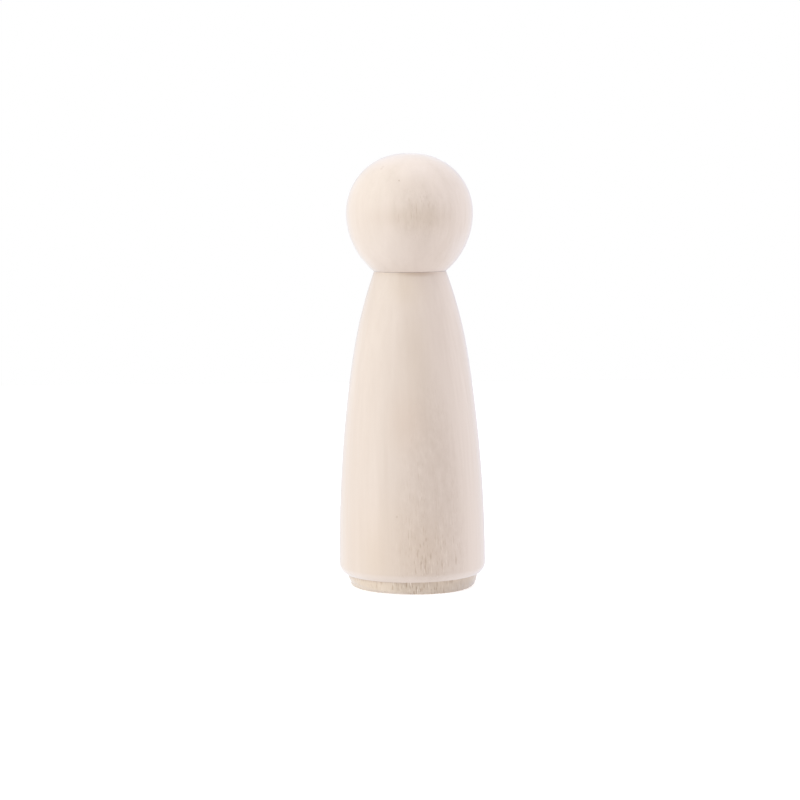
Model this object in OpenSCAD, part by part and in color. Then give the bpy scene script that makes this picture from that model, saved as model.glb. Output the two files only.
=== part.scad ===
// Turned wooden peg doll: a ball head dowelled to a flared body that stands on a plugged foot.
// Millimetres, +Z up, origin at the centre of the face that the doll stands on.
// The head and the body are chains of tangent arcs, turned about the Z axis.

/* [Doll] */
// Overall height from the foot to the crown
doll_h = 75; // [60:0.5:100]

/* [Head] */
// Diameter of the head at its widest
head_d = 22; // [18:0.5:26]
// Height of the head above the neck seam
head_h = 20.3; // [18:0.1:24]
// Diameter of the small flat on the crown
crown_flat_d = 1.4; // [0.4:0.1:3]

/* [Neck] */
// Diameter of the seam where the head sits on the body
neck_d = 12.6; // [10:0.2:15]
// Slope of the body where it meets the seam, degrees from the axis
neck_angle = 20; // [14:1:28]
// Depth of the turned line that marks the seam
groove_depth = 0.1; // [0.05:0.05:0.6]
// Included angle of the tool that cuts the line, degrees
groove_angle = 60; // [20:5:60]

/* [Body] */
// Widest diameter of the skirt
body_d = 25.5; // [22:0.5:32]
// Distance below the seam at which the skirt starts to close towards the neck
shoulder_drop = 13; // [8:0.5:20]
// Height of the straight band above the hem
band_h = 1.3; // [0.5:0.1:5]
// Height of the rounded hem
hem_h = 1.8; // [1:0.1:2]
// Radius of the rounded hem, a little more than its height
hem_r = 2.2; // [2:0.1:4]

/* [Foot] */
// Diameter of the foot
foot_d = 22.8; // [18:0.1:23.4]
// Thickness of the foot below the body
foot_h = 2.2; // [1.2:0.1:4]
// Radius of the foot's lower edge
foot_edge_r = 0.8; // [0.2:0.1:1]
// Diameter of the spigot that plugs into the body
spigot_d = 12; // [8:0.5:16]
// Length of the spigot
spigot_l = 9; // [5:0.5:14]

/* [Neck dowel] */
// Diameter of the dowel pin
dowel_d = 6; // [4:0.5:8]
// Length of the dowel pin, half of it in the head
dowel_l = 18; // [12:1:24]
// Number of glue flutes along the pin
flute_count = 12; // [6:1:16]
// Diameter of the cutter that makes a flute
flute_d = 0.8; // [0.5:0.1:1.2]
// Depth of a flute
flute_depth = 0.2; // [0.1:0.05:0.4]

/* [Joinery] */
// Radial gap round a pin or spigot for the glue
glue_gap = 0.05; // [0.02:0.01:0.15]
// Depth of a bore past the end of its pin
glue_pocket = 0.5; // [0.2:0.1:1.5]
// Bevel on the ends of pins and the mouths of bores
edge_bevel = 0.5; // [0.2:0.1:0.8]
// Point angle of the drill, degrees
drill_angle = 118; // [90:1:140]

/* [Hidden] */

turn_fn = 128;      // steps round a turned piece
pin_fn = 64;        // steps round a pin, bore or flute
arc_error = 0.003;  // how far a step of an outline arc may leave the true arc
cut_over = 1;       // how far a cutter reaches past the wood

head_wood = "#f1e4d6";
body_wood = "#eadbc8";
foot_wood = "#e2cdb2";
dowel_wood = "#d9b98c";

// Radius of an arc that leaves a line parallel to the axis and has moved in by dr after dz
function arc_radius(dz, dr) = (dz * dz + dr * dr) / (2 * dr);

// Steps round a whole circle that keep to arc_error, a multiple of 4 so that a step ends at each quarter
function arc_steps(radius) = 4 * ceil(45 / acos(1 - arc_error / radius));

// Head outline: a dome above the cheek, which is the widest height, and a chin arc below it
neck_z = doll_h - head_h;
dome_r = (head_d - crown_flat_d) / 2;
cheek_z = doll_h - dome_r;
chin_r = arc_radius(cheek_z - neck_z, (head_d - neck_d) / 2);
dome_centre = [crown_flat_d / 2, cheek_z];
chin_centre = [head_d / 2 - chin_r, cheek_z];

// Body outline: a long belly arc, upright at its foot, runs into a tighter shoulder arc up to the neck.
// The chords of two such arcs meet at half of neck_angle, which places the point where they join.
hem_z = foot_h + hem_h;
belly_z = hem_z + band_h;
shoulder_z = neck_z - shoulder_drop;
belly_rise = shoulder_z - belly_z;
taper = (body_d - neck_d) / 2;
chord_turn = tan(neck_angle / 2);
chord_sum = belly_rise + shoulder_drop + chord_turn * taper;
chord_gap = belly_rise * (taper - chord_turn * shoulder_drop);
belly_in = (chord_sum - sqrt(chord_sum * chord_sum - 4 * chord_turn * chord_gap)) / (2 * chord_turn);
belly_r = arc_radius(belly_rise, belly_in);
belly_centre = [body_d / 2 - belly_r, belly_z];
shoulder_point = [body_d / 2 - belly_in, shoulder_z];
neck_chord = [neck_d / 2, neck_z] - shoulder_point;
inward = (belly_centre - shoulder_point) / belly_r;
shoulder_r = (neck_chord * neck_chord) / (2 * (neck_chord * inward));
shoulder_centre = shoulder_point + shoulder_r * inward;

// The stretch of a disc between two heights, from x_from outwards
module arc_band(centre, radius, z_from, z_to, x_from = 0) {
    intersection() {
        translate(centre)
            circle(r = radius, $fn = arc_steps(radius));
        translate([x_from, z_from])
            square([centre.x + radius - x_from + cut_over, z_to - z_from]);
    }
}

// A plain rectangle between two heights, from the axis out to radius
module flat_band(radius, z_from, z_to) {
    translate([0, z_from])
        square([radius, z_to - z_from]);
}

// Turns an outline about the axis
module turned() {
    rotate_extrude($fn = turn_fn)
        children();
}

// The pointed tool's bite at the neck seam, half in the head and half in the body
module seam_line() {
    reach = body_d / 2;
    half_mouth = reach * tan(groove_angle / 2);
    translate([neck_d / 2 - groove_depth, neck_z])
        polygon([[0, 0], [reach, half_mouth], [reach, -half_mouth]]);
}

// A drilled blind bore that opens downwards at z = 0, with a bevelled mouth and the drill's point
module drilled_bore(d, depth) {
    point_h = d / 2 / tan(drill_angle / 2);
    mouth_h = edge_bevel + cut_over;
    translate([0, 0, -cut_over])
        cylinder(d = d, h = depth + cut_over, $fn = pin_fn);
    translate([0, 0, depth])
        cylinder(d1 = d, d2 = 0, h = point_h, $fn = pin_fn);
    translate([0, 0, -cut_over])
        cylinder(d1 = d + 2 * mouth_h, d2 = d, h = mouth_h, $fn = pin_fn);
}

// The bore for one half of the neck dowel, upwards from the seam
module dowel_bore() {
    drilled_bore(dowel_d + 2 * glue_gap, dowel_l / 2 + glue_pocket);
}

module head() {
    color(head_wood)
        difference() {
            turned()
                difference() {
                    union() {
                        arc_band(dome_centre, dome_r, cheek_z, doll_h, crown_flat_d / 2);
                        flat_band(crown_flat_d / 2, cheek_z, doll_h);
                        arc_band(chin_centre, chin_r, neck_z, cheek_z);
                    }
                    seam_line();
                }
            translate([0, 0, neck_z])
                dowel_bore();
        }
}

module neck_dowel() {
    color(dowel_wood)
        translate([0, 0, neck_z - dowel_l / 2])
            difference() {
                turned()
                    polygon([
                        [0, 0],
                        [dowel_d / 2 - edge_bevel, 0],
                        [dowel_d / 2, edge_bevel],
                        [dowel_d / 2, dowel_l - edge_bevel],
                        [dowel_d / 2 - edge_bevel, dowel_l],
                        [0, dowel_l]
                    ]);
                for (i = [0 : flute_count - 1])
                    rotate(i * 360 / flute_count)
                        translate([(dowel_d + flute_d) / 2 - flute_depth, 0, -cut_over])
                            cylinder(d = flute_d, h = dowel_l + 2 * cut_over, $fn = pin_fn);
            }
}

module body() {
    hem_centre = [body_d / 2 - hem_r, hem_z];
    color(body_wood)
        difference() {
            turned()
                difference() {
                    union() {
                        arc_band(hem_centre, hem_r, foot_h, hem_z, hem_centre.x);
                        flat_band(hem_centre.x, foot_h, hem_z);
                        flat_band(body_d / 2, hem_z, belly_z);
                        arc_band(belly_centre, belly_r, belly_z, shoulder_z);
                        arc_band(shoulder_centre, shoulder_r, shoulder_z, neck_z);
                    }
                    seam_line();
                }
            translate([0, 0, neck_z])
                mirror([0, 0, 1])
                    dowel_bore();
            translate([0, 0, foot_h])
                drilled_bore(spigot_d + 2 * glue_gap, spigot_l + glue_pocket);
        }
}

module foot_plug() {
    edge_centre = [foot_d / 2 - foot_edge_r, foot_edge_r];
    root_z = foot_h / 2;
    bevel_z = foot_h + spigot_l - edge_bevel;
    color(foot_wood)
        union() {
            turned() {
                arc_band(edge_centre, foot_edge_r, 0, foot_edge_r, edge_centre.x);
                flat_band(edge_centre.x, 0, foot_edge_r);
                flat_band(foot_d / 2, foot_edge_r, foot_h);
            }
            translate([0, 0, root_z])
                cylinder(d = spigot_d, h = bevel_z - root_z, $fn = pin_fn);
            translate([0, 0, bevel_z])
                cylinder(d1 = spigot_d, d2 = spigot_d - 2 * edge_bevel, h = edge_bevel, $fn = pin_fn);
        }
}

head();
neck_dowel();
body();
foot_plug();
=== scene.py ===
from math import asin, cos, hypot, pi, radians, sin, sqrt, tan

import bpy
import numpy as np
from mathutils import Matrix, Vector


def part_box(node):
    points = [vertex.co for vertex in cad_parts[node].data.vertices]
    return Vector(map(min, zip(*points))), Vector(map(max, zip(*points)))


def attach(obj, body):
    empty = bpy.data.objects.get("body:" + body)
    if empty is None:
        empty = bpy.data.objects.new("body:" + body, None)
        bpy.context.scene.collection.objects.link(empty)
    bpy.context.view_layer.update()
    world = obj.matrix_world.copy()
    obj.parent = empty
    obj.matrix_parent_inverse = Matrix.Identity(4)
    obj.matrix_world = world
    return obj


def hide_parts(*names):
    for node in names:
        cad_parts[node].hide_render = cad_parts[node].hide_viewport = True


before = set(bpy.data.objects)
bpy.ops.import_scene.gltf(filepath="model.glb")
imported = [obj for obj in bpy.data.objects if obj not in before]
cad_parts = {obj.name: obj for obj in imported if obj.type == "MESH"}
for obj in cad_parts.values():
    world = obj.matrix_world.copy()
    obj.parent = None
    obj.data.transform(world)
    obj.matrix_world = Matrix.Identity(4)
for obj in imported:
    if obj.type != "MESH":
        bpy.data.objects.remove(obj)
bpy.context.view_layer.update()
mm = 0.001

# Heights and radii that the frame gives
headLow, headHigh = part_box("head")
bodyLow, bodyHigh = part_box("body")
footLow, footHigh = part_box("foot_plug")
crownZ = headHigh.z
seamZ = headLow.z
footTopZ = bodyLow.z
spigotTopZ = footHigh.z
print("frame loaded, doll height", round(crownZ / mm, 2), "mm")


# Outlines are rows of (radius, height, skin): skin is 1 on the sanded outside and 0 inside a joint
traceStep = 0.02 * mm  # spacing of the points on an outline
bellReach = 4  # widths at which the average that eases the edges is cut off
jointStep = 2 * mm  # spacing of the rings inside a joint
turnStep = radians(6)  # how far the outline turns from ring to ring at a bend


def traceLine(start, end, skin):
    # straight stretch: start + t * (end - start), t from 0 to 1
    count = max(2, int(hypot(end[0] - start[0], end[1] - start[1]) / traceStep))
    t = np.linspace(0, 1, count)[:, None]
    points = np.array(start) + t * (np.array(end) - np.array(start))
    return np.column_stack((points, np.full(count, float(skin))))


def traceArc(centre, radius, fromAngle, toAngle, skin):
    # round stretch: centre + radius * (cos a, sin a), a from fromAngle to toAngle in radians
    count = max(2, int(radius * abs(toAngle - fromAngle) / traceStep))
    a = np.linspace(fromAngle, toAngle, count)
    points = np.column_stack((centre[0] + radius * np.cos(a), centre[1] + radius * np.sin(a)))
    return np.column_stack((points, np.full(count, float(skin))))


def traceCorners(corners, skin):
    # a chain of straight stretches from corner to corner
    return np.concatenate([traceLine(a, b, skin) for a, b in zip(corners, corners[1:])])


def wornOutline(stretches, wear):
    # even steps along the outline, then a bell-shaped average of width wear, so that every edge is eased;
    # past the axis the outline goes on as its own mirror image
    path = np.concatenate(stretches)
    step = np.hypot(*np.diff(path[:, :2], axis=0).T)
    path = path[np.concatenate(([True], step > 0))]
    along = np.concatenate(([0], np.cumsum(step[step > 0])))
    even = np.linspace(0, along[-1], int(along[-1] / traceStep))
    path = np.column_stack([np.interp(even, along, column) for column in path.T])
    reach = int(bellReach * wear / traceStep)
    mirror = np.array((-1, 1, 1))
    padded = np.concatenate((path[reach:0:-1] * mirror, path, path[-2:-reach - 2:-1] * mirror))
    weight = np.exp(-0.5 * (np.arange(-reach, reach + 1) * traceStep / wear) ** 2)
    weight /= weight.sum()
    return np.column_stack([np.convolve(column, weight, "valid") for column in padded.T])


def chosenRings(path, shape):
    # rings stand closer on the skin and where the outline turns: each takes an equal share of
    # length / step + turning / turnStep;
    # a ring's row is radius, height, skin, the normal's two parts and the length so far
    direction = np.gradient(path[:, :2], axis=0)
    heading = np.unwrap(np.arctan2(direction[:, 1], direction[:, 0]))
    step = jointStep + path[:, 2] * (shape["skinStep"] - jointStep)
    share = traceStep / step + np.abs(np.gradient(heading)) / turnStep
    tally = np.concatenate(([0], np.cumsum(share[1:])))
    target = np.linspace(0, tally[-1], shape["rings"])
    normal = np.column_stack((np.sin(heading), -np.cos(heading)))
    columns = np.column_stack((path, normal, np.arange(len(path)) * traceStep))
    return np.column_stack([np.interp(target, tally, column) for column in columns.T])


def solidGrain(rng, point, waves):
    # sum of plane waves through the wood, short across the grain and long along it:
    # cos(kx x + ky y + kz z + phase)
    total = np.zeros(point.shape[:-1])
    for wave in range(waves["count"]):
        turn = rng.uniform(0, 2 * pi)
        length = rng.uniform(*waves["across"])
        rise = rng.uniform(*waves["along"]) * rng.choice((-1, 1))
        k = 2 * pi * np.array((cos(turn) / length, sin(turn) / length, 1 / rise))
        total += np.cos(point @ k + rng.uniform(0, 2 * pi))
    return total * sqrt(2 / waves["count"])


def newMesh(name, vertices, loops, sizes):
    # loops is one row with the vertex numbers of all faces, sizes the number of corners of each face
    starts = np.concatenate(([0], np.cumsum(sizes)[:-1]))
    mesh = bpy.data.meshes.new(name)
    mesh.vertices.add(len(vertices))
    mesh.vertices.foreach_set("co", vertices.astype(np.float32).ravel())
    mesh.loops.add(len(loops))
    mesh.loops.foreach_set("vertex_index", loops.astype(np.int32))
    mesh.polygons.add(len(sizes))
    mesh.polygons.foreach_set("loop_start", starts.astype(np.int32))
    mesh.polygons.foreach_set("use_smooth", np.ones(len(sizes), dtype=bool))
    mesh.update(calc_edges=True)
    mesh.validate()
    return mesh


def turnedPiece(name, ring, columns, relief, fields):
    # the outline carried round the axis: (r cos a, r sin a, z), moved along its normal by relief;
    # the two ends of the outline are single points on the axis
    angle = np.arange(columns) * 2 * pi / columns
    around = np.stack((np.cos(angle), np.sin(angle)), -1)
    r, z, skin, normalR, normalZ = ring[1:-1, :5].T
    height = np.broadcast_to(z[:, None, None], (len(r), columns, 1))
    point = np.concatenate((r[:, None, None] * around, height), -1)
    lift = relief(point, np.broadcast_to(angle, point.shape[:2])) * skin[:, None]
    point[..., :2] += (lift * normalR[:, None])[..., None] * around
    point[..., 2] += lift * normalZ[:, None]
    ends = np.array(((0, 0, ring[0, 1]), (0, 0, ring[-1, 1])))
    vertices = np.concatenate((point.reshape(-1, 3), ends))
    index = np.arange(len(r) * columns).reshape(len(r), columns)
    beside = np.roll(index, -1, axis=1)
    quads = np.stack((index[:-1], beside[:-1], beside[1:], index[1:]), -1).reshape(-1, 4)
    first = np.stack((np.full(columns, index.size), beside[0], index[0]), -1)
    last = np.stack((index[-1], beside[-1], np.full(columns, index.size + 1)), -1)
    loops = np.concatenate((quads.ravel(), first.ravel(), last.ravel()))
    sizes = np.concatenate((np.full(len(quads), 4), np.full(2 * columns, 3)))
    mesh = newMesh(name, vertices, loops, sizes)
    for fieldName, field in fields(point, ring[1:-1]).items():
        values = np.concatenate((np.broadcast_to(field, point.shape[:2]).ravel(), np.zeros(len(ends))))
        attribute = mesh.attributes.new(fieldName, "FLOAT", "POINT")
        attribute.data.foreach_set("value", values.astype(np.float32))
    piece = bpy.data.objects.new(name, mesh)
    bpy.context.scene.collection.objects.link(piece)
    return piece


# Shader values as Python expressions: a wire is one output socket, and arithmetic on it adds Math nodes
class Wire:
    def __init__(self, tree, socket=None):
        self.tree = tree
        self.socket = socket

    def put(self, kind, settings, sockets, output=0):
        node = self.tree.nodes.new(kind)
        for name, value in settings.items():
            setattr(node, name, value)
        for name, value in sockets.items():
            if isinstance(value, Wire):
                self.tree.links.new(value.socket, node.inputs[name])
            else:
                node.inputs[name].default_value = value
        return Wire(self.tree, node.outputs[output] if node.outputs else None)

    def other(self, output):
        return Wire(self.tree, self.socket.node.outputs[output])

    def math(self, operation, first, second=0.0):
        return self.put("ShaderNodeMath", {"operation": operation}, {0: first, 1: second})

    def __add__(self, other):
        return self.math("ADD", self, other)

    def __radd__(self, other):
        return self.math("ADD", other, self)

    def __sub__(self, other):
        return self.math("SUBTRACT", self, other)

    def __rsub__(self, other):
        return self.math("SUBTRACT", other, self)

    def __mul__(self, other):
        return self.math("MULTIPLY", self, other)

    def __rmul__(self, other):
        return self.math("MULTIPLY", other, self)

    def __truediv__(self, other):
        return self.math("DIVIDE", self, other)

    def __rtruediv__(self, other):
        return self.math("DIVIDE", other, self)

    def __pow__(self, other):
        return self.math("POWER", self, other)

    def __rpow__(self, other):
        return self.math("POWER", other, self)

    def fraction(self):
        return self.math("FRACT", self)

    def wave(self):
        return self.math("SINE", self)

    def size(self):
        return self.math("ABSOLUTE", self)

    def ramp(self, low, high):
        # smooth step from 0 at low to 1 at high
        sockets = {"Value": self, "From Min": low, "From Max": high}
        return self.put("ShaderNodeMapRange", {"interpolation_type": "SMOOTHSTEP"}, sockets)

    def stretched(self, factors):
        return self.put("ShaderNodeVectorMath", {"operation": "MULTIPLY"}, {0: self, 1: factors}, "Vector")

    def distance(self, place):
        return self.put("ShaderNodeVectorMath", {"operation": "DISTANCE"}, {0: self, 1: place}, "Value")

    def noise(self, factors, detail, roughness):
        vector = self.stretched(factors)
        sockets = {"Vector": vector, "Scale": 1.0, "Detail": detail, "Roughness": roughness}
        return self.put("ShaderNodeTexNoise", {}, sockets, "Fac")

    def blend(self, colourA, colourB):
        # colourA where this value is 0, colourB where it is 1; the numbers are the node's colour sockets
        return self.put("ShaderNodeMix", {"data_type": "RGBA"}, {0: self, 6: colourA, 7: colourB}, 2)


def newMaterial(name):
    material = bpy.data.materials.new(name)
    material.use_nodes = True
    material.node_tree.nodes.clear()
    return material, Wire(material.node_tree)


# Bare wood: noise drawn out along the grain, as waves per millimetre, octaves and roughness
grainNoise = {
    "wander": ((0.09, 0.09, 0.016), 2.0, 0.5),
    "band": ((0.3, 0.3, 0.012), 2.0, 0.5),
    "fibre": ((1.3, 1.3, 0.04), 4.0, 0.62),
    "thread": ((6.5, 6.5, 0.16), 3.0, 0.6),
    "figure": ((1.1, 1.1, 0.6), 3.0, 0.6),
    "cluster": ((0.5, 0.5, 0.07), 2.0, 0.5),
}
# dark brown painted into the seam line and under the head as painted shade
seamShadeTone = (0.5, 0.36, 0.25, 1.0)
paleWood = {
    "lean": (1.5, 2.0, 0.0), "wander": 0.9, "ringStart": 0.0, "ringWidth": 14.0, "openShare": 0.34,
    "oldRings": 0.65, "youngDepths": (31.0, 37.0),
    "pale": (0.741, 0.65, 0.585, 1.0), "deep": (0.606, 0.512, 0.442, 1.0),
    "tone": 0.36, "fibre": 0.25, "band": 0.5, "thread": 0.15, "porousTone": 0.42, "figure": 1.0,
    # long cells per millimetre, and the shares of them that are cut open or raised
    "vessels": [
        {"perMm": (3.4, 3.4, 0.3), "cut": 0.3, "raised": 0.2, "strength": 0.45},
        {"perMm": (5.0, 5.0, 0.55), "cut": 0.5, "raised": 0.3, "strength": 0.35},
    ],
    "clusterRamp": (0.3, 0.6), "vesselCore": (0.08, 0.4), "lotStep": 0.1,
    "torn": 0.0, "tornHeights": (5.0, 18.0), "strayFlecks": 0.02,
    "fleckTone": (0.42, 0.28, 0.17, 1.0), "strandHighlightTone": (0.9, 0.82, 0.74, 1.0),
    # the crease strength and its dark tone paint shade into the seam line; the edge strength and its pale
    # tone paint the edges as wear and highlight
    "crease": 0.25, "creaseShadeTone": seamShadeTone, "edge": 0.25, "rubbedAndLit": (0.86, 0.78, 0.71, 1.0), "marks": [],
    "fibreRelief": 0.006, "threadRelief": 0.004, "fleckDepth": 0.09, "strandRise": 0.5,
    "toolPitch": 0.55, "toolWander": 9.0, "toolMark": 0.0008,
    "roughness": 0.6, "fibreRough": 0.16, "fleckRough": 0.12, "edgePolish": 0.08, "diffuseRoughness": 0.4,
    "sheen": 0.7, "sheenRoughness": 0.35, "sheenTint": (0.74, 0.84, 1.0, 1.0),
}
darkSpeck = {"size": (0.2, 0.5, 0.3), "core": 0.3, "strength": 0.27, "tone": (0.36, 0.24, 0.15, 1.0)}


def growthRings(grain, wander, wood):
    # distance from the pith, wandering slowly along the tree; the wood is porous at a ring's border,
    # and less so in the old wood near the pith
    acrossX = grain.put("ShaderNodeSeparateXYZ", {}, {0: grain}, "X")
    acrossY = acrossX.other("Y")
    depth = (acrossX * acrossX + acrossY * acrossY) ** 0.5 + (wander - 0.5) * wood["wander"]
    phase = ((depth - wood["ringStart"]) / wood["ringWidth"]).fraction()
    border = ((phase - 0.5) * 2).size()
    young = depth.ramp(*wood["youngDepths"])
    porous = border.ramp(1 - wood["openShare"], 1.0) * (wood["oldRings"] + young * (1 - wood["oldRings"]))
    return porous, young


def woodCells(grain, openness, wood):
    # long cells, each with a lot from 0 to 1: a high lot is a cut vessel, a low one a raised strand,
    # painted pale as a highlight
    fleck = 0.0
    strand = 0.0
    step = wood["lotStep"]
    for cells in wood["vessels"]:
        sockets = {"Vector": grain.stretched(cells["perMm"]), "Scale": 1.0}
        vessel = grain.put("ShaderNodeTexVoronoi", {}, sockets, "Distance")
        lot = grain.put("ShaderNodeSeparateXYZ", {}, {0: vessel.other("Color")})
        core = (1 - vessel.ramp(*wood["vesselCore"])) * openness * cells["strength"]
        fleck = fleck + core * lot.ramp(1 - cells["cut"] - step, 1 - cells["cut"])
        strand = strand + core * (1 - lot.ramp(cells["raised"], cells["raised"] + step))
    return fleck, strand


def markedColour(colour, doll, marks):
    # soft spots: ellipsoids with half axes size, in millimetres;
    # the tone is even out to the share core of them and then fades out
    for mark in marks:
        squeeze = tuple(1 / size for size in mark["size"])
        spot = tuple(at / size for at, size in zip(mark["spot"], mark["size"]))
        near = 1 - doll.stretched(squeeze).distance(spot).ramp(mark["core"], 1.0)
        colour = (near * mark["strength"]).blend(colour, mark["tone"])
    return colour


def woodMaterial(name, wood):
    material, bench = newMaterial(name)
    place = bench.put("ShaderNodeTexCoord", {}, {}, "Object")
    doll = place.stretched((1 / mm, 1 / mm, 1 / mm))
    dollZ = bench.put("ShaderNodeSeparateXYZ", {}, {0: doll}, "Z")
    # grain space: millimetres from the pith, which leans a little against the turning axis
    lean = tuple(radians(a) for a in wood["lean"])
    sockets = {"Vector": doll, "Rotation": lean, "Location": wood["fromPith"]}
    grain = bench.put("ShaderNodeMapping", {}, sockets)
    wander = grain.noise(*grainNoise["wander"])
    band = grain.noise(*grainNoise["band"])
    fibre = grain.noise(*grainNoise["fibre"])
    thread = grain.noise(*grainNoise["thread"])
    figure = grain.noise(*grainNoise["figure"])
    porous, young = growthRings(grain, wander, wood)

    # cells lie open in clusters of the porous wood, and more of them low on a torn piece
    cluster = grain.noise(*grainNoise["cluster"]).ramp(*wood["clusterRamp"])
    torn = (1 - dollZ.ramp(*wood["tornHeights"])) * wood["torn"]
    openness = (wood["strayFlecks"] + porous * cluster) * (1 + torn)
    fleck, strand = woodCells(grain, openness, wood)

    # fibres at three widths, and a faint curly figure where the young wood is porous
    tone = wood["tone"] + (fibre - 0.5) * wood["fibre"] + (band - 0.5) * wood["band"]
    tone = tone + (thread - 0.5) * wood["thread"] + porous * wood["porousTone"]
    tone = tone + (figure - 0.5) * porous * young * wood["figure"]
    colour = tone.ramp(0.0, 1.0).blend(wood["pale"], wood["deep"])
    colour = fleck.blend(colour, wood["fleckTone"])
    # the pale strands are a painted highlight on raised fibres
    colour = strand.blend(colour, wood["strandHighlightTone"])

    # painted shade lies at the seam line, under the head's rim, and on the foot's lower edge, where it
    # meets the floor; the edges are painted pale, partly as wear from handling and partly as a painted
    # highlight
    crease = bench.put("ShaderNodeAttribute", {"attribute_name": "crease"}, {}, "Fac")
    edge = bench.put("ShaderNodeAttribute", {"attribute_name": "edge"}, {}, "Fac")
    colour = (crease * wood["crease"]).blend(colour, wood["creaseShadeTone"])
    # pale edges: partly wear from handling, partly a painted highlight
    colour = (edge * wood["edge"]).blend(colour, wood["rubbedAndLit"])
    colour = markedColour(colour, doll, wood["marks"])

    # relief in millimetres: fibres, raised strands, open vessels and the tool's fine turns
    height = (fibre - 0.5) * wood["fibreRelief"] + (thread - 0.5) * wood["threadRelief"]
    height = height + (strand * wood["strandRise"] - fleck) * wood["fleckDepth"]
    tooling = (dollZ * (2 * pi / wood["toolPitch"]) + wander * wood["toolWander"]).wave()
    height = height + tooling * wood["toolMark"]
    bump = bench.put("ShaderNodeBump", {}, {"Strength": 1.0, "Distance": mm, "Height": height})
    rough = wood["roughness"] + (fibre - 0.5) * wood["fibreRough"] + fleck * wood["fleckRough"]
    rough = rough - edge * wood["edgePolish"]
    shader = bench.put("ShaderNodeBsdfPrincipled", {}, {
        "Base Color": colour, "Roughness": rough, "Normal": bump,
        "Diffuse Roughness": wood["diffuseRoughness"],
        "Sheen Weight": wood["sheen"], "Sheen Roughness": wood["sheenRoughness"],
        "Sheen Tint": wood["sheenTint"],
    })
    bench.put("ShaderNodeOutputMaterial", {}, {"Surface": shader})
    return material


# Shared by the pieces: the seam line at the neck and the painted shade under it, the drilled bores, the
# pale edges (wear and painted highlight) and the waves of the wood
seamCut = {"radius": 6.3 * mm, "depth": 0.02 * mm, "angle": 60}
seamShade = {"up": 0.1 * mm, "down": 0.45 * mm}
# how sharply an edge turns sets how pale it is painted, as wear and highlight
edgeRubAndLight = {"radius": 0.35 * mm, "start": 0.1}
dowelBore = {"radius": 3.05 * mm, "depth": 9.5 * mm, "bevel": 0.5 * mm, "drillAngle": 118}
plugBore = {"radius": 6.05 * mm, "depth": 9.5 * mm, "bevel": 0.5 * mm, "drillAngle": 118}
slowWaves = {"count": 10, "across": (14 * mm, 30 * mm), "along": (25 * mm, 60 * mm)}
fineWaves = {"count": 40, "across": (0.7 * mm, 2.2 * mm), "along": (18 * mm, 60 * mm)}


def boreCorners(bore, mouthZ, upward):
    # drill point, wall and bevelled mouth of a blind bore, from the tip to the face at mouthZ
    point = bore["radius"] / tan(radians(bore["drillAngle"] / 2))
    return [
        (0, mouthZ + upward * (bore["depth"] + point)),
        (bore["radius"], mouthZ + upward * bore["depth"]),
        (bore["radius"], mouthZ + upward * bore["bevel"]),
        (bore["radius"] + bore["bevel"], mouthZ),
    ]


def seamFlank(centre, radius, upward):
    # from the seam line's root along the tool's flank to where it meets the arc round centre
    root = np.array((seamCut["radius"] - seamCut["depth"], seamZ))
    half = radians(seamCut["angle"] / 2)
    way = np.array((cos(half), upward * sin(half)))
    offset = root - np.array(centre)
    onWay = offset @ way
    travel = -onWay + sqrt(onWay * onWay - (offset @ offset - radius * radius))
    return root, root + travel * way


def arcRadius(rise, inset):
    # radius of an arc that starts upright and has moved in by inset after rise
    return (rise * rise + inset * inset) / (2 * inset)


def woodRelief(shape):
    # slow out-of-roundness plus fine grain ridges, both from waves through the solid wood;
    # the whole is set in, so that the waves hardly reach past the solid
    rng = np.random.default_rng(shape["seed"])

    def relief(point, angle):
        slow = solidGrain(rng, point, slowWaves)
        fine = solidGrain(rng, point, fineWaves)
        return slow * shape["outOfRound"] - shape["setIn"] + fine * shape["grainRelief"]
    return relief


def woodFields(point, ring):
    # crease: a bell round the seam line, wider on the body, that paints the shade under the head's rim;
    # edge: how sharply the outline turns round the wood, as turning * radius - start
    above = point[..., 2] - seamZ
    reach = np.where(above > 0, seamShade["up"], seamShade["down"])
    crease = np.exp(-(above / reach) ** 2) * np.clip(ring[:, 2], 0, 1)[:, None]
    heading = np.unwrap(np.arctan2(ring[:, 3], -ring[:, 4]))
    turning = np.gradient(heading, ring[:, 5])
    edge = np.clip(turning * edgeRubAndLight["radius"] - edgeRubAndLight["start"], 0, 1) * ring[:, 2]
    return {"crease": crease, "edge": edge[:, None]}


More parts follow.
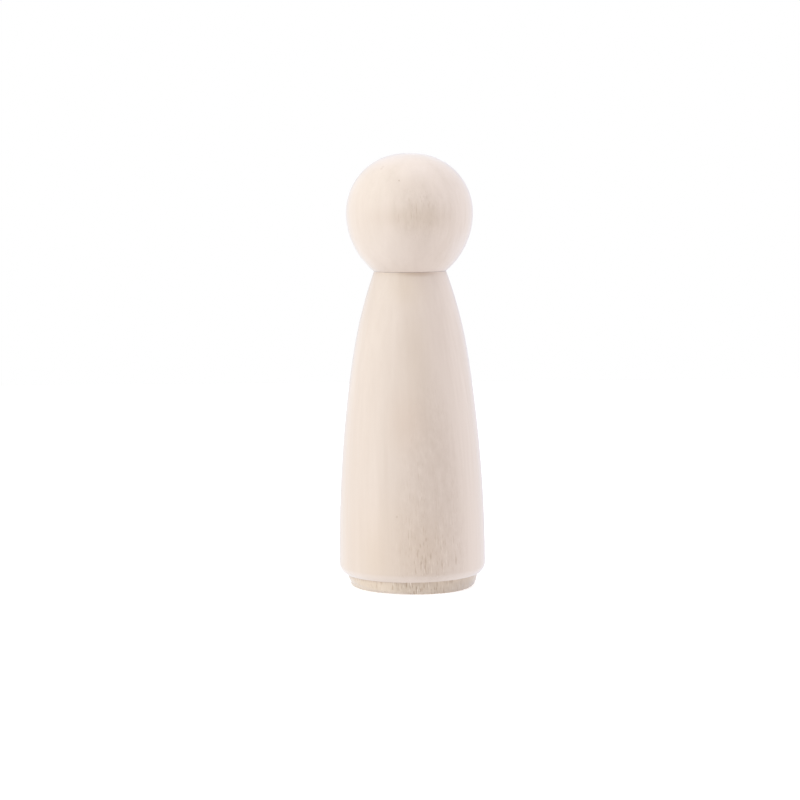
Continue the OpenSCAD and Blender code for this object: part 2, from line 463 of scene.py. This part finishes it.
# Head: bore, seat, seam line, chin arc, dome and crown flat, from the bore's tip to the crown
headShape = {
    "crownFlat": 0.7 * mm, "wear": 0.07 * mm,
    "rings": 190, "skinStep": 0.24 * mm, "columns": 480, "seed": 11,
    "outOfRound": 0.0175 * mm, "setIn": 0.035 * mm, "grainRelief": 0.006 * mm,
}
headWood = {
    **paleWood,
    "fromPith": (6.0, -27.4, 0.0), "ringStart": 42.0, "porousTone": 0.2, "tone": 0.32,
    "pale": (0.768, 0.674, 0.606, 1.0), "deep": (0.62, 0.53, 0.457, 1.0),
    "marks": [
        # a speck and a short scratch of two strokes
        {**darkSpeck, "spot": (-1.74, -9.18, 70.3), "size": (0.16, 0.3, 0.2),
         "core": 0.4, "strength": 0.45},
        {**darkSpeck, "spot": (-4.7, -6.0, 72.35), "size": (0.3, 0.5, 0.3), "core": 0.2, "strength": 0.2},
        {**darkSpeck, "spot": (-4.45, -5.7, 72.65), "size": (0.3, 0.5, 0.3), "core": 0.2, "strength": 0.2},
        # a brown stain in front; below it painted shade under the chin's right and painted light on the
        # chin's left
        {"spot": (2.3, -10.6, 64.0), "size": (7.3, 7.5, 3.9), "core": 0.0, "strength": 0.37,
         "tone": (0.6, 0.49, 0.38, 1.0)},
        {"spot": (5.0, -7.0, 57.0), "size": (6.0, 6.0, 5.0), "core": 0.0, "strength": 0.1,
         "tone": (0.6, 0.5, 0.43, 1.0)},
        {"spot": (-4.5, -8.6, 59.0), "size": (6.5, 6.5, 5.5), "core": 0.0, "strength": 0.4,
         "tone": (0.8, 0.72, 0.66, 1.0)},
        # painted light: pale patches on the crown, above the stain and low on the right
        {"spot": (-3.6, -3.4, 74.4), "size": (6.5, 7.0, 3.2), "core": 0.1, "strength": 0.3,
         "tone": (0.8, 0.72, 0.71, 1.0)},
        {"spot": (1.2, -7.6, 71.8), "size": (4.0, 4.0, 2.6), "core": 0.1, "strength": 0.25,
         "tone": (0.8, 0.72, 0.68, 1.0)},
        {"spot": (8.3, -5.5, 58.8), "size": (3.8, 3.8, 4.5), "core": 0.1, "strength": 0.25,
         "tone": (0.77, 0.72, 0.72, 1.0)},
        # the stain's faint left end
        {"spot": (-3.6, -10.2, 64.3), "size": (6.0, 6.0, 2.4), "core": 0.0, "strength": 0.1,
         "tone": (0.6, 0.47, 0.35, 1.0)},
    ],
}


def headOutline():
    # the dome and the chin arc are both upright at the cheek, the head's widest height
    cheek = headHigh.x
    domeRadius = cheek - headShape["crownFlat"]
    cheekZ = crownZ - domeRadius
    chinRadius = arcRadius(cheekZ - seamZ, cheek - seamCut["radius"])
    chinCentre = (cheek - chinRadius, cheekZ)
    root, lip = seamFlank(chinCentre, chinRadius, 1)
    lipAngle = asin((lip[1] - cheekZ) / chinRadius)
    return [
        traceCorners(boreCorners(dowelBore, seamZ, 1) + [tuple(root)], 0),
        traceLine(tuple(root), tuple(lip), 1),
        traceArc(chinCentre, chinRadius, lipAngle, 0, 1),
        traceArc((headShape["crownFlat"], cheekZ), domeRadius, 0, pi / 2, 1),
        traceLine((headShape["crownFlat"], crownZ), (0, crownZ), 1),
    ]


ring = chosenRings(wornOutline(headOutline(), headShape["wear"]), headShape)
head = turnedPiece("turned_head", ring, headShape["columns"], woodRelief(headShape), woodFields)
head.data.materials.append(woodMaterial("head wood", headWood))
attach(head, "root")
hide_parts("head")
print("head turned,", len(head.data.polygons), "faces")


# Body: plug bore, underside, rounded hem, band, belly arc, shoulder arc, seam line and dowel bore
bodyShape = {
    "shoulderDrop": 13 * mm, "neckAngle": 20, "band": 1.3 * mm,
    "hemHeight": 1.8 * mm, "hemRadius": 2.2 * mm,
    "wear": 0.07 * mm, "rings": 195, "skinStep": 0.32 * mm, "columns": 480, "seed": 23,
    "outOfRound": 0.02 * mm, "setIn": 0.04 * mm, "grainRelief": 0.006 * mm,
}
bodyWood = {
    **paleWood,
    "fromPith": (8.6, -28.5, 0.0), "ringStart": 43.4, "torn": 1.9, "tornHeights": (4.0, 16.0),
    "fibre": 0.2, "thread": 0.1,
    "vessels": [
        {"perMm": (4.2, 4.2, 0.3), "cut": 0.3, "raised": 0.2, "strength": 0.3},
        {"perMm": (5.6, 5.6, 0.7), "cut": 0.5, "raised": 0.35, "strength": 0.26},
    ],
    "marks": [
        # brown streaks down the front, from the middle up to the neck
        {"spot": (0.8, -10.3, 41.0), "size": (4.5, 4.5, 15.0), "core": 0.0, "strength": 0.3,
         "tone": (0.57, 0.47, 0.37, 1.0)},
        {"spot": (-0.8, -11.9, 30.0), "size": (5.0, 5.0, 9.0), "core": 0.0, "strength": 0.3,
         "tone": (0.6, 0.47, 0.37, 1.0)},
        {"spot": (-0.5, -7.4, 52.5), "size": (5.0, 5.0, 6.0), "core": 0.0, "strength": 0.3,
         "tone": (0.66, 0.55, 0.43, 1.0)},
        # warm patches low in front
        {"spot": (-6.2, -11.0, 6.0), "size": (4.0, 4.0, 8.0), "core": 0.0, "strength": 0.2,
         "tone": (0.6, 0.49, 0.38, 1.0)},
        {"spot": (2.6, -12.4, 7.0), "size": (7.5, 7.5, 7.0), "core": 0.0, "strength": 0.1,
         "tone": (0.62, 0.47, 0.33, 1.0)},
        {"spot": (-2.5, -9.0, 8.0), "size": (11.5, 12.0, 13.0), "core": 0.3, "strength": 0.13,
         "tone": (0.68, 0.53, 0.38, 1.0)},
        # painted light: the hem pale all round, as lit from the floor below; and painted shade under the
        # head in front
        {"spot": (0.0, 0.0, 2.2), "size": (30.0, 30.0, 1.6), "core": 0.7, "strength": 0.2,
         "tone": (0.82, 0.77, 0.75, 1.0)},
        {"spot": (1.4, -6.2, 54.6), "size": (4.5, 4.5, 0.8), "core": 0.2, "strength": 0.35,
         "tone": seamShadeTone},
        # two specks, then short torn strokes above the hem
        {**darkSpeck, "spot": (-2.6, -12.2, 13.6)},
        {**darkSpeck, "spot": (2.3, -12.4, 9.7), "size": (0.24, 0.6, 0.5)},
        {**darkSpeck, "spot": (2.2, -12.5, 5.9), "size": (0.22, 0.5, 1.3)},
        {**darkSpeck, "spot": (3.1, -12.3, 6.8), "size": (0.2, 0.5, 1.0)},
        {**darkSpeck, "spot": (5.0, -11.7, 5.4), "size": (0.22, 0.5, 1.0)},
        {**darkSpeck, "spot": (7.4, -10.3, 5.7), "size": (0.26, 0.6, 1.1)},
    ],
}


def bodyOutline():
    widest = bodyHigh.x
    neck = seamCut["radius"]
    hemZ = footTopZ + bodyShape["hemHeight"]
    bellyZ = hemZ + bodyShape["band"]
    shoulderZ = seamZ - bodyShape["shoulderDrop"]
    # two tangent arcs: their chords meet at half of the neck's slope
    rise = shoulderZ - bellyZ
    taper = widest - neck
    turn = tan(radians(bodyShape["neckAngle"] / 2))
    chordSum = rise + bodyShape["shoulderDrop"] + turn * taper
    chordGap = rise * (taper - turn * bodyShape["shoulderDrop"])
    inset = (chordSum - sqrt(chordSum * chordSum - 4 * turn * chordGap)) / (2 * turn)
    bellyRadius = arcRadius(rise, inset)
    bellyCentre = np.array((widest - bellyRadius, bellyZ))
    join = np.array((widest - inset, shoulderZ))
    chord = np.array((neck, seamZ)) - join
    inward = (bellyCentre - join) / bellyRadius
    shoulderRadius = chord @ chord / (2 * chord @ inward)
    shoulderCentre = join + shoulderRadius * inward
    root, lip = seamFlank(shoulderCentre, shoulderRadius, -1)
    hemCentre = (widest - bodyShape["hemRadius"], hemZ)
    hemAngle = -asin(bodyShape["hemHeight"] / bodyShape["hemRadius"])
    hemEdge = (hemCentre[0] + bodyShape["hemRadius"] * cos(hemAngle), footTopZ)
    joinAngle = asin(rise / bellyRadius)
    lipAngle = asin((lip[1] - shoulderCentre[1]) / shoulderRadius)
    return [
        traceCorners(boreCorners(plugBore, footTopZ, 1) + [hemEdge], 0),
        traceArc(hemCentre, bodyShape["hemRadius"], hemAngle, 0, 1),
        traceLine((widest, hemZ), (widest, bellyZ), 1),
        traceArc(bellyCentre, bellyRadius, 0, joinAngle, 1),
        traceArc(shoulderCentre, shoulderRadius, joinAngle, lipAngle, 1),
        traceLine(tuple(lip), tuple(root), 1),
        traceCorners([tuple(root)] + boreCorners(dowelBore, seamZ, -1)[::-1], 0),
    ]


ring = chosenRings(wornOutline(bodyOutline(), bodyShape["wear"]), bodyShape)
body = turnedPiece("turned_body", ring, bodyShape["columns"], woodRelief(bodyShape), woodFields)
body.data.materials.append(woodMaterial("body wood", bodyWood))
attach(body, "root")
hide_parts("body")
print("body turned,", len(body.data.polygons), "faces")


# Foot: underside, rounded lower edge, rim, top face and spigot
footShape = {
    "edgeRadius": 0.8 * mm, "spigot": 6 * mm, "bevel": 0.5 * mm, "wear": 0.06 * mm,
    "rings": 90, "skinStep": 0.16 * mm, "columns": 480, "seed": 37,
    "outOfRound": 0.015 * mm, "setIn": 0.03 * mm, "grainRelief": 0.01 * mm, "shadeReach": 0.7 * mm,
    "leftEnd": {"angle": 180, "focus": 2}, "leftTaper": 1.05 * mm,
    "rightEnd": {"angle": 0, "focus": 12}, "rightTaper": 0.5 * mm, "taperPower": 1.5,
    "sharpSide": {"angle": -60, "focus": 4}, "chips": 0.05 * mm,
    "tornWaves": {"count": 30, "across": (0.5 * mm, 1.6 * mm), "along": (4 * mm, 12 * mm)},
}
footWood = {
    **paleWood,
    "fromPith": (7.0, -29.3, 0.0), "ringStart": 42.0,
    "pale": (0.745, 0.645, 0.545, 1.0), "deep": (0.58, 0.487, 0.395, 1.0),
    "tone": 0.26, "fibre": 0.9, "thread": 0.7, "strayFlecks": 0.7,
    # the foot's lower edge gets a darker painted shade, where it meets the floor
    "crease": 0.32, "creaseShadeTone": (0.36, 0.28, 0.22, 1.0),
    "vessels": [
        {"perMm": (3.0, 3.0, 0.5), "cut": 0.35, "raised": 0.3, "strength": 0.6},
        {"perMm": (4.8, 4.8, 0.7), "cut": 0.5, "raised": 0.35, "strength": 0.5},
    ],
    "marks": [
        # darker at the right end as painted shade, warmer at the left
        {"spot": (9.3, -6.6, 0.4), "size": (6.5, 6.5, 3.0), "core": 0.2, "strength": 0.5,
         "tone": (0.4, 0.33, 0.28, 1.0)},
        {"spot": (-9.5, -7.0, 1.0), "size": (9.0, 9.0, 6.0), "core": 0.2, "strength": 0.2,
         "tone": (0.55, 0.42, 0.29, 1.0)},
    ],
}


def footOutline():
    rim = footHigh.x
    edge = footShape["edgeRadius"]
    spigot = footShape["spigot"]
    bevel = footShape["bevel"]
    return [
        traceLine((0, footLow.z), (rim - edge, footLow.z), 0),
        traceArc((rim - edge, footLow.z + edge), edge, -pi / 2, 0, 1),
        traceLine((rim, footLow.z + edge), (rim, footTopZ), 1),
        traceCorners([
            (rim, footTopZ), (spigot, footTopZ), (spigot, spigotTopZ - bevel),
            (spigot - bevel, spigotTopZ), (0, spigotTopZ),
        ], 0),
    ]


def facing(angle, side):
    # 1 at the side's own angle, in degrees round the axis, and cos(turn away from it) ** focus elsewhere
    return np.clip(np.cos(angle - radians(side["angle"])), 0, 1) ** side["focus"]


def footRelief(point, angle):
    # the common relief, plus a lower edge that was sanded further in at its left and right ends;
    # in front on the right it is torn, and sharper by edge * (1 / max(down, sideways) - 1), a square corner
    plain = woodRelief(footShape)(point, angle)
    rng = np.random.default_rng(footShape["seed"] + 1)
    low = np.clip(1 - point[..., 2] / footTopZ, 0, 1)
    torn = np.abs(solidGrain(rng, point, footShape["tornWaves"]))
    down = np.clip(1 - point[..., 2] / footShape["edgeRadius"], 0, 1)
    sideways = np.sqrt(1 - down ** 2)
    corner = footShape["edgeRadius"] * (1 / np.maximum(down, sideways) - 1)
    left = footShape["leftTaper"] * facing(angle, footShape["leftEnd"])
    right = footShape["rightTaper"] * facing(angle, footShape["rightEnd"])
    taper = (left + right) * low ** footShape["taperPower"] * sideways
    sharp = (corner - footShape["chips"] * torn * low) * facing(angle, footShape["sharpSide"])
    return plain - taper + sharp


def footFields(point, ring):
    # painted shade on the rounded lower edge, where it meets the floor: a bell of the given reach above the
    # underside
    fields = woodFields(point, ring)
    fields["crease"] = np.exp(-(point[..., 2] / footShape["shadeReach"]) ** 2) * ring[:, 2][:, None]
    return fields


ring = chosenRings(wornOutline(footOutline(), footShape["wear"]), footShape)
foot = turnedPiece("turned_foot", ring, footShape["columns"], footRelief, footFields)
foot.data.materials.append(woodMaterial("foot wood", footWood))
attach(foot, "root")
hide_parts("foot_plug")
print("foot turned,", len(foot.data.polygons), "faces")


# Neck dowel: its solid is right as it is, so it only gets a darker rod's wood
dowelWood = {
    **paleWood,
    "fromPith": (3.0, -9.0, 0.0), "pale": (0.62, 0.45, 0.28, 1.0), "deep": (0.46, 0.31, 0.17, 1.0),
    "ringWidth": 1.6, "fibre": 0.9,
}
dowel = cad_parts["neck_dowel"]
dowel.data.materials.clear()
dowel.data.materials.append(woodMaterial("dowel wood", dowelWood))
print("dowel finished")


# Studio: surroundings that look white but light the doll only dimly, three soft boxes and a white floor
studio = {
    "white": (1.0, 1.0, 1.0, 1.0), "backdrop": 1.0,
    "ambient": 0.647, "ambientTint": (1.0, 0.968, 0.975, 1.0),
    "floorSize": 0.8, "floorTone": (0.92, 0.92, 0.92, 1.0), "floorRoughness": 0.9, "floorGloss": 0.1,
    "floorGlow": 0.3, "bounce": 1.166, "bounceTint": (1.0, 0.981, 0.987, 1.0),
    "softBoxes": {
        "key": {"place": (-0.55, -0.22, 0.36), "size": 0.45, "power": 2.653, "tint": (0.942, 1.0, 0.94)},
        "side": {"place": (0.6, 0.1, 0.25), "size": 0.8, "power": 2.62, "tint": (0.88, 0.911, 1.0)},
        "overhead": {"place": (0.0, 0.0, 0.7), "size": 1.0, "power": 2.47, "tint": (0.96, 0.969, 1.0)},
    },
}


def softLight(name, light):
    lamp = bpy.data.lights.new(name, "AREA")
    lamp.shape = "SQUARE"
    lamp.size = light["size"]
    lamp.energy = light["power"]
    lamp.color = light["tint"]
    holder = bpy.data.objects.new(name, lamp)
    holder.location = light["place"]
    towards = Vector((0, 0, crownZ / 2)) - Vector(light["place"])
    holder.rotation_euler = towards.to_track_quat("-Z", "Y").to_euler()
    bpy.context.scene.collection.objects.link(holder)


def paleFloor():
    half = studio["floorSize"] / 2
    mesh = bpy.data.meshes.new("floor")
    corners = [(-half, -half, 0), (half, -half, 0), (half, half, 0), (-half, half, 0)]
    mesh.from_pydata(corners, [], [(0, 1, 2, 3)])
    material, bench = newMaterial("floor paint")
    paint = bench.put("ShaderNodeBsdfPrincipled", {}, {
        "Base Color": studio["floorTone"], "Roughness": studio["floorRoughness"],
        "Specular IOR Level": studio["floorGloss"],
        "Emission Color": studio["white"], "Emission Strength": studio["floorGlow"],
    })
    # the doll gets an even light from the floor, and only the camera sees the paint with its shade
    seen = bench.put("ShaderNodeLightPath", {}, {}, "Is Camera Ray")
    even = {"Color": studio["bounceTint"], "Strength": studio["bounce"]}
    bounce = bench.put("ShaderNodeEmission", {}, even)
    mix = bench.put("ShaderNodeMixShader", {}, {0: seen, 1: bounce, 2: paint})
    bench.put("ShaderNodeOutputMaterial", {}, {"Surface": mix})
    mesh.materials.append(material)
    floor = bpy.data.objects.new("floor", mesh)
    bpy.context.scene.collection.objects.link(floor)


def studioWorld():
    world = bpy.data.worlds.new("studio")
    world.use_nodes = True
    world.node_tree.nodes.clear()
    bench = Wire(world.node_tree)
    seen = bench.put("ShaderNodeLightPath", {}, {}, "Is Camera Ray")
    plain = {"Color": studio["white"], "Strength": studio["backdrop"]}
    white = bench.put("ShaderNodeBackground", {}, plain)
    faint = {"Color": studio["ambientTint"], "Strength": studio["ambient"]}
    dim = bench.put("ShaderNodeBackground", {}, faint)
    mix = bench.put("ShaderNodeMixShader", {}, {0: seen, 1: dim, 2: white})
    bench.put("ShaderNodeOutputWorld", {}, {"Surface": mix})
    bpy.context.scene.world = world


paleFloor()
studioWorld()
for lightName, light in studio["softBoxes"].items():
    softLight(lightName, light)
bpy.context.scene.view_settings.view_transform = "Standard"
print("studio lit")


# Camera: just below the crown's height, at the distance that gives the foot's lower edge its curve
cameraView = {
    "distance": 0.4, "height": 0.0705, "lens": 104.0, "sensor": 36.0, "lean": 0.5, "clipStart": 0.01,
    "imageSize": 800, "dollMiddle": (411, 370),  # pixels
}


def dollCamera():
    lens = bpy.data.cameras.new("camera")
    lens.lens = cameraView["lens"]
    lens.sensor_width = cameraView["sensor"]
    lens.clip_start = cameraView["clipStart"]
    camera = bpy.data.objects.new("camera", lens)
    # moved and aimed so that the doll's middle falls on its pixel
    pixel = cameraView["sensor"] / cameraView["lens"] * cameraView["distance"] / cameraView["imageSize"]
    centre = cameraView["imageSize"] / 2
    left = (cameraView["dollMiddle"][0] - centre) * pixel
    below = (centre - cameraView["dollMiddle"][1]) * pixel
    aim = Vector((-left, 0, crownZ / 2 - below))
    eye = Vector((-left, -cameraView["distance"], cameraView["height"]))
    look = (aim - eye).to_track_quat("-Z", "Y").to_matrix().to_4x4()
    tilt = Matrix.Rotation(radians(-cameraView["lean"]), 4, "Z")
    camera.matrix_world = Matrix.Translation(eye) @ look @ tilt
    bpy.context.scene.collection.objects.link(camera)
    bpy.context.scene.camera = camera


dollCamera()
print("camera placed")
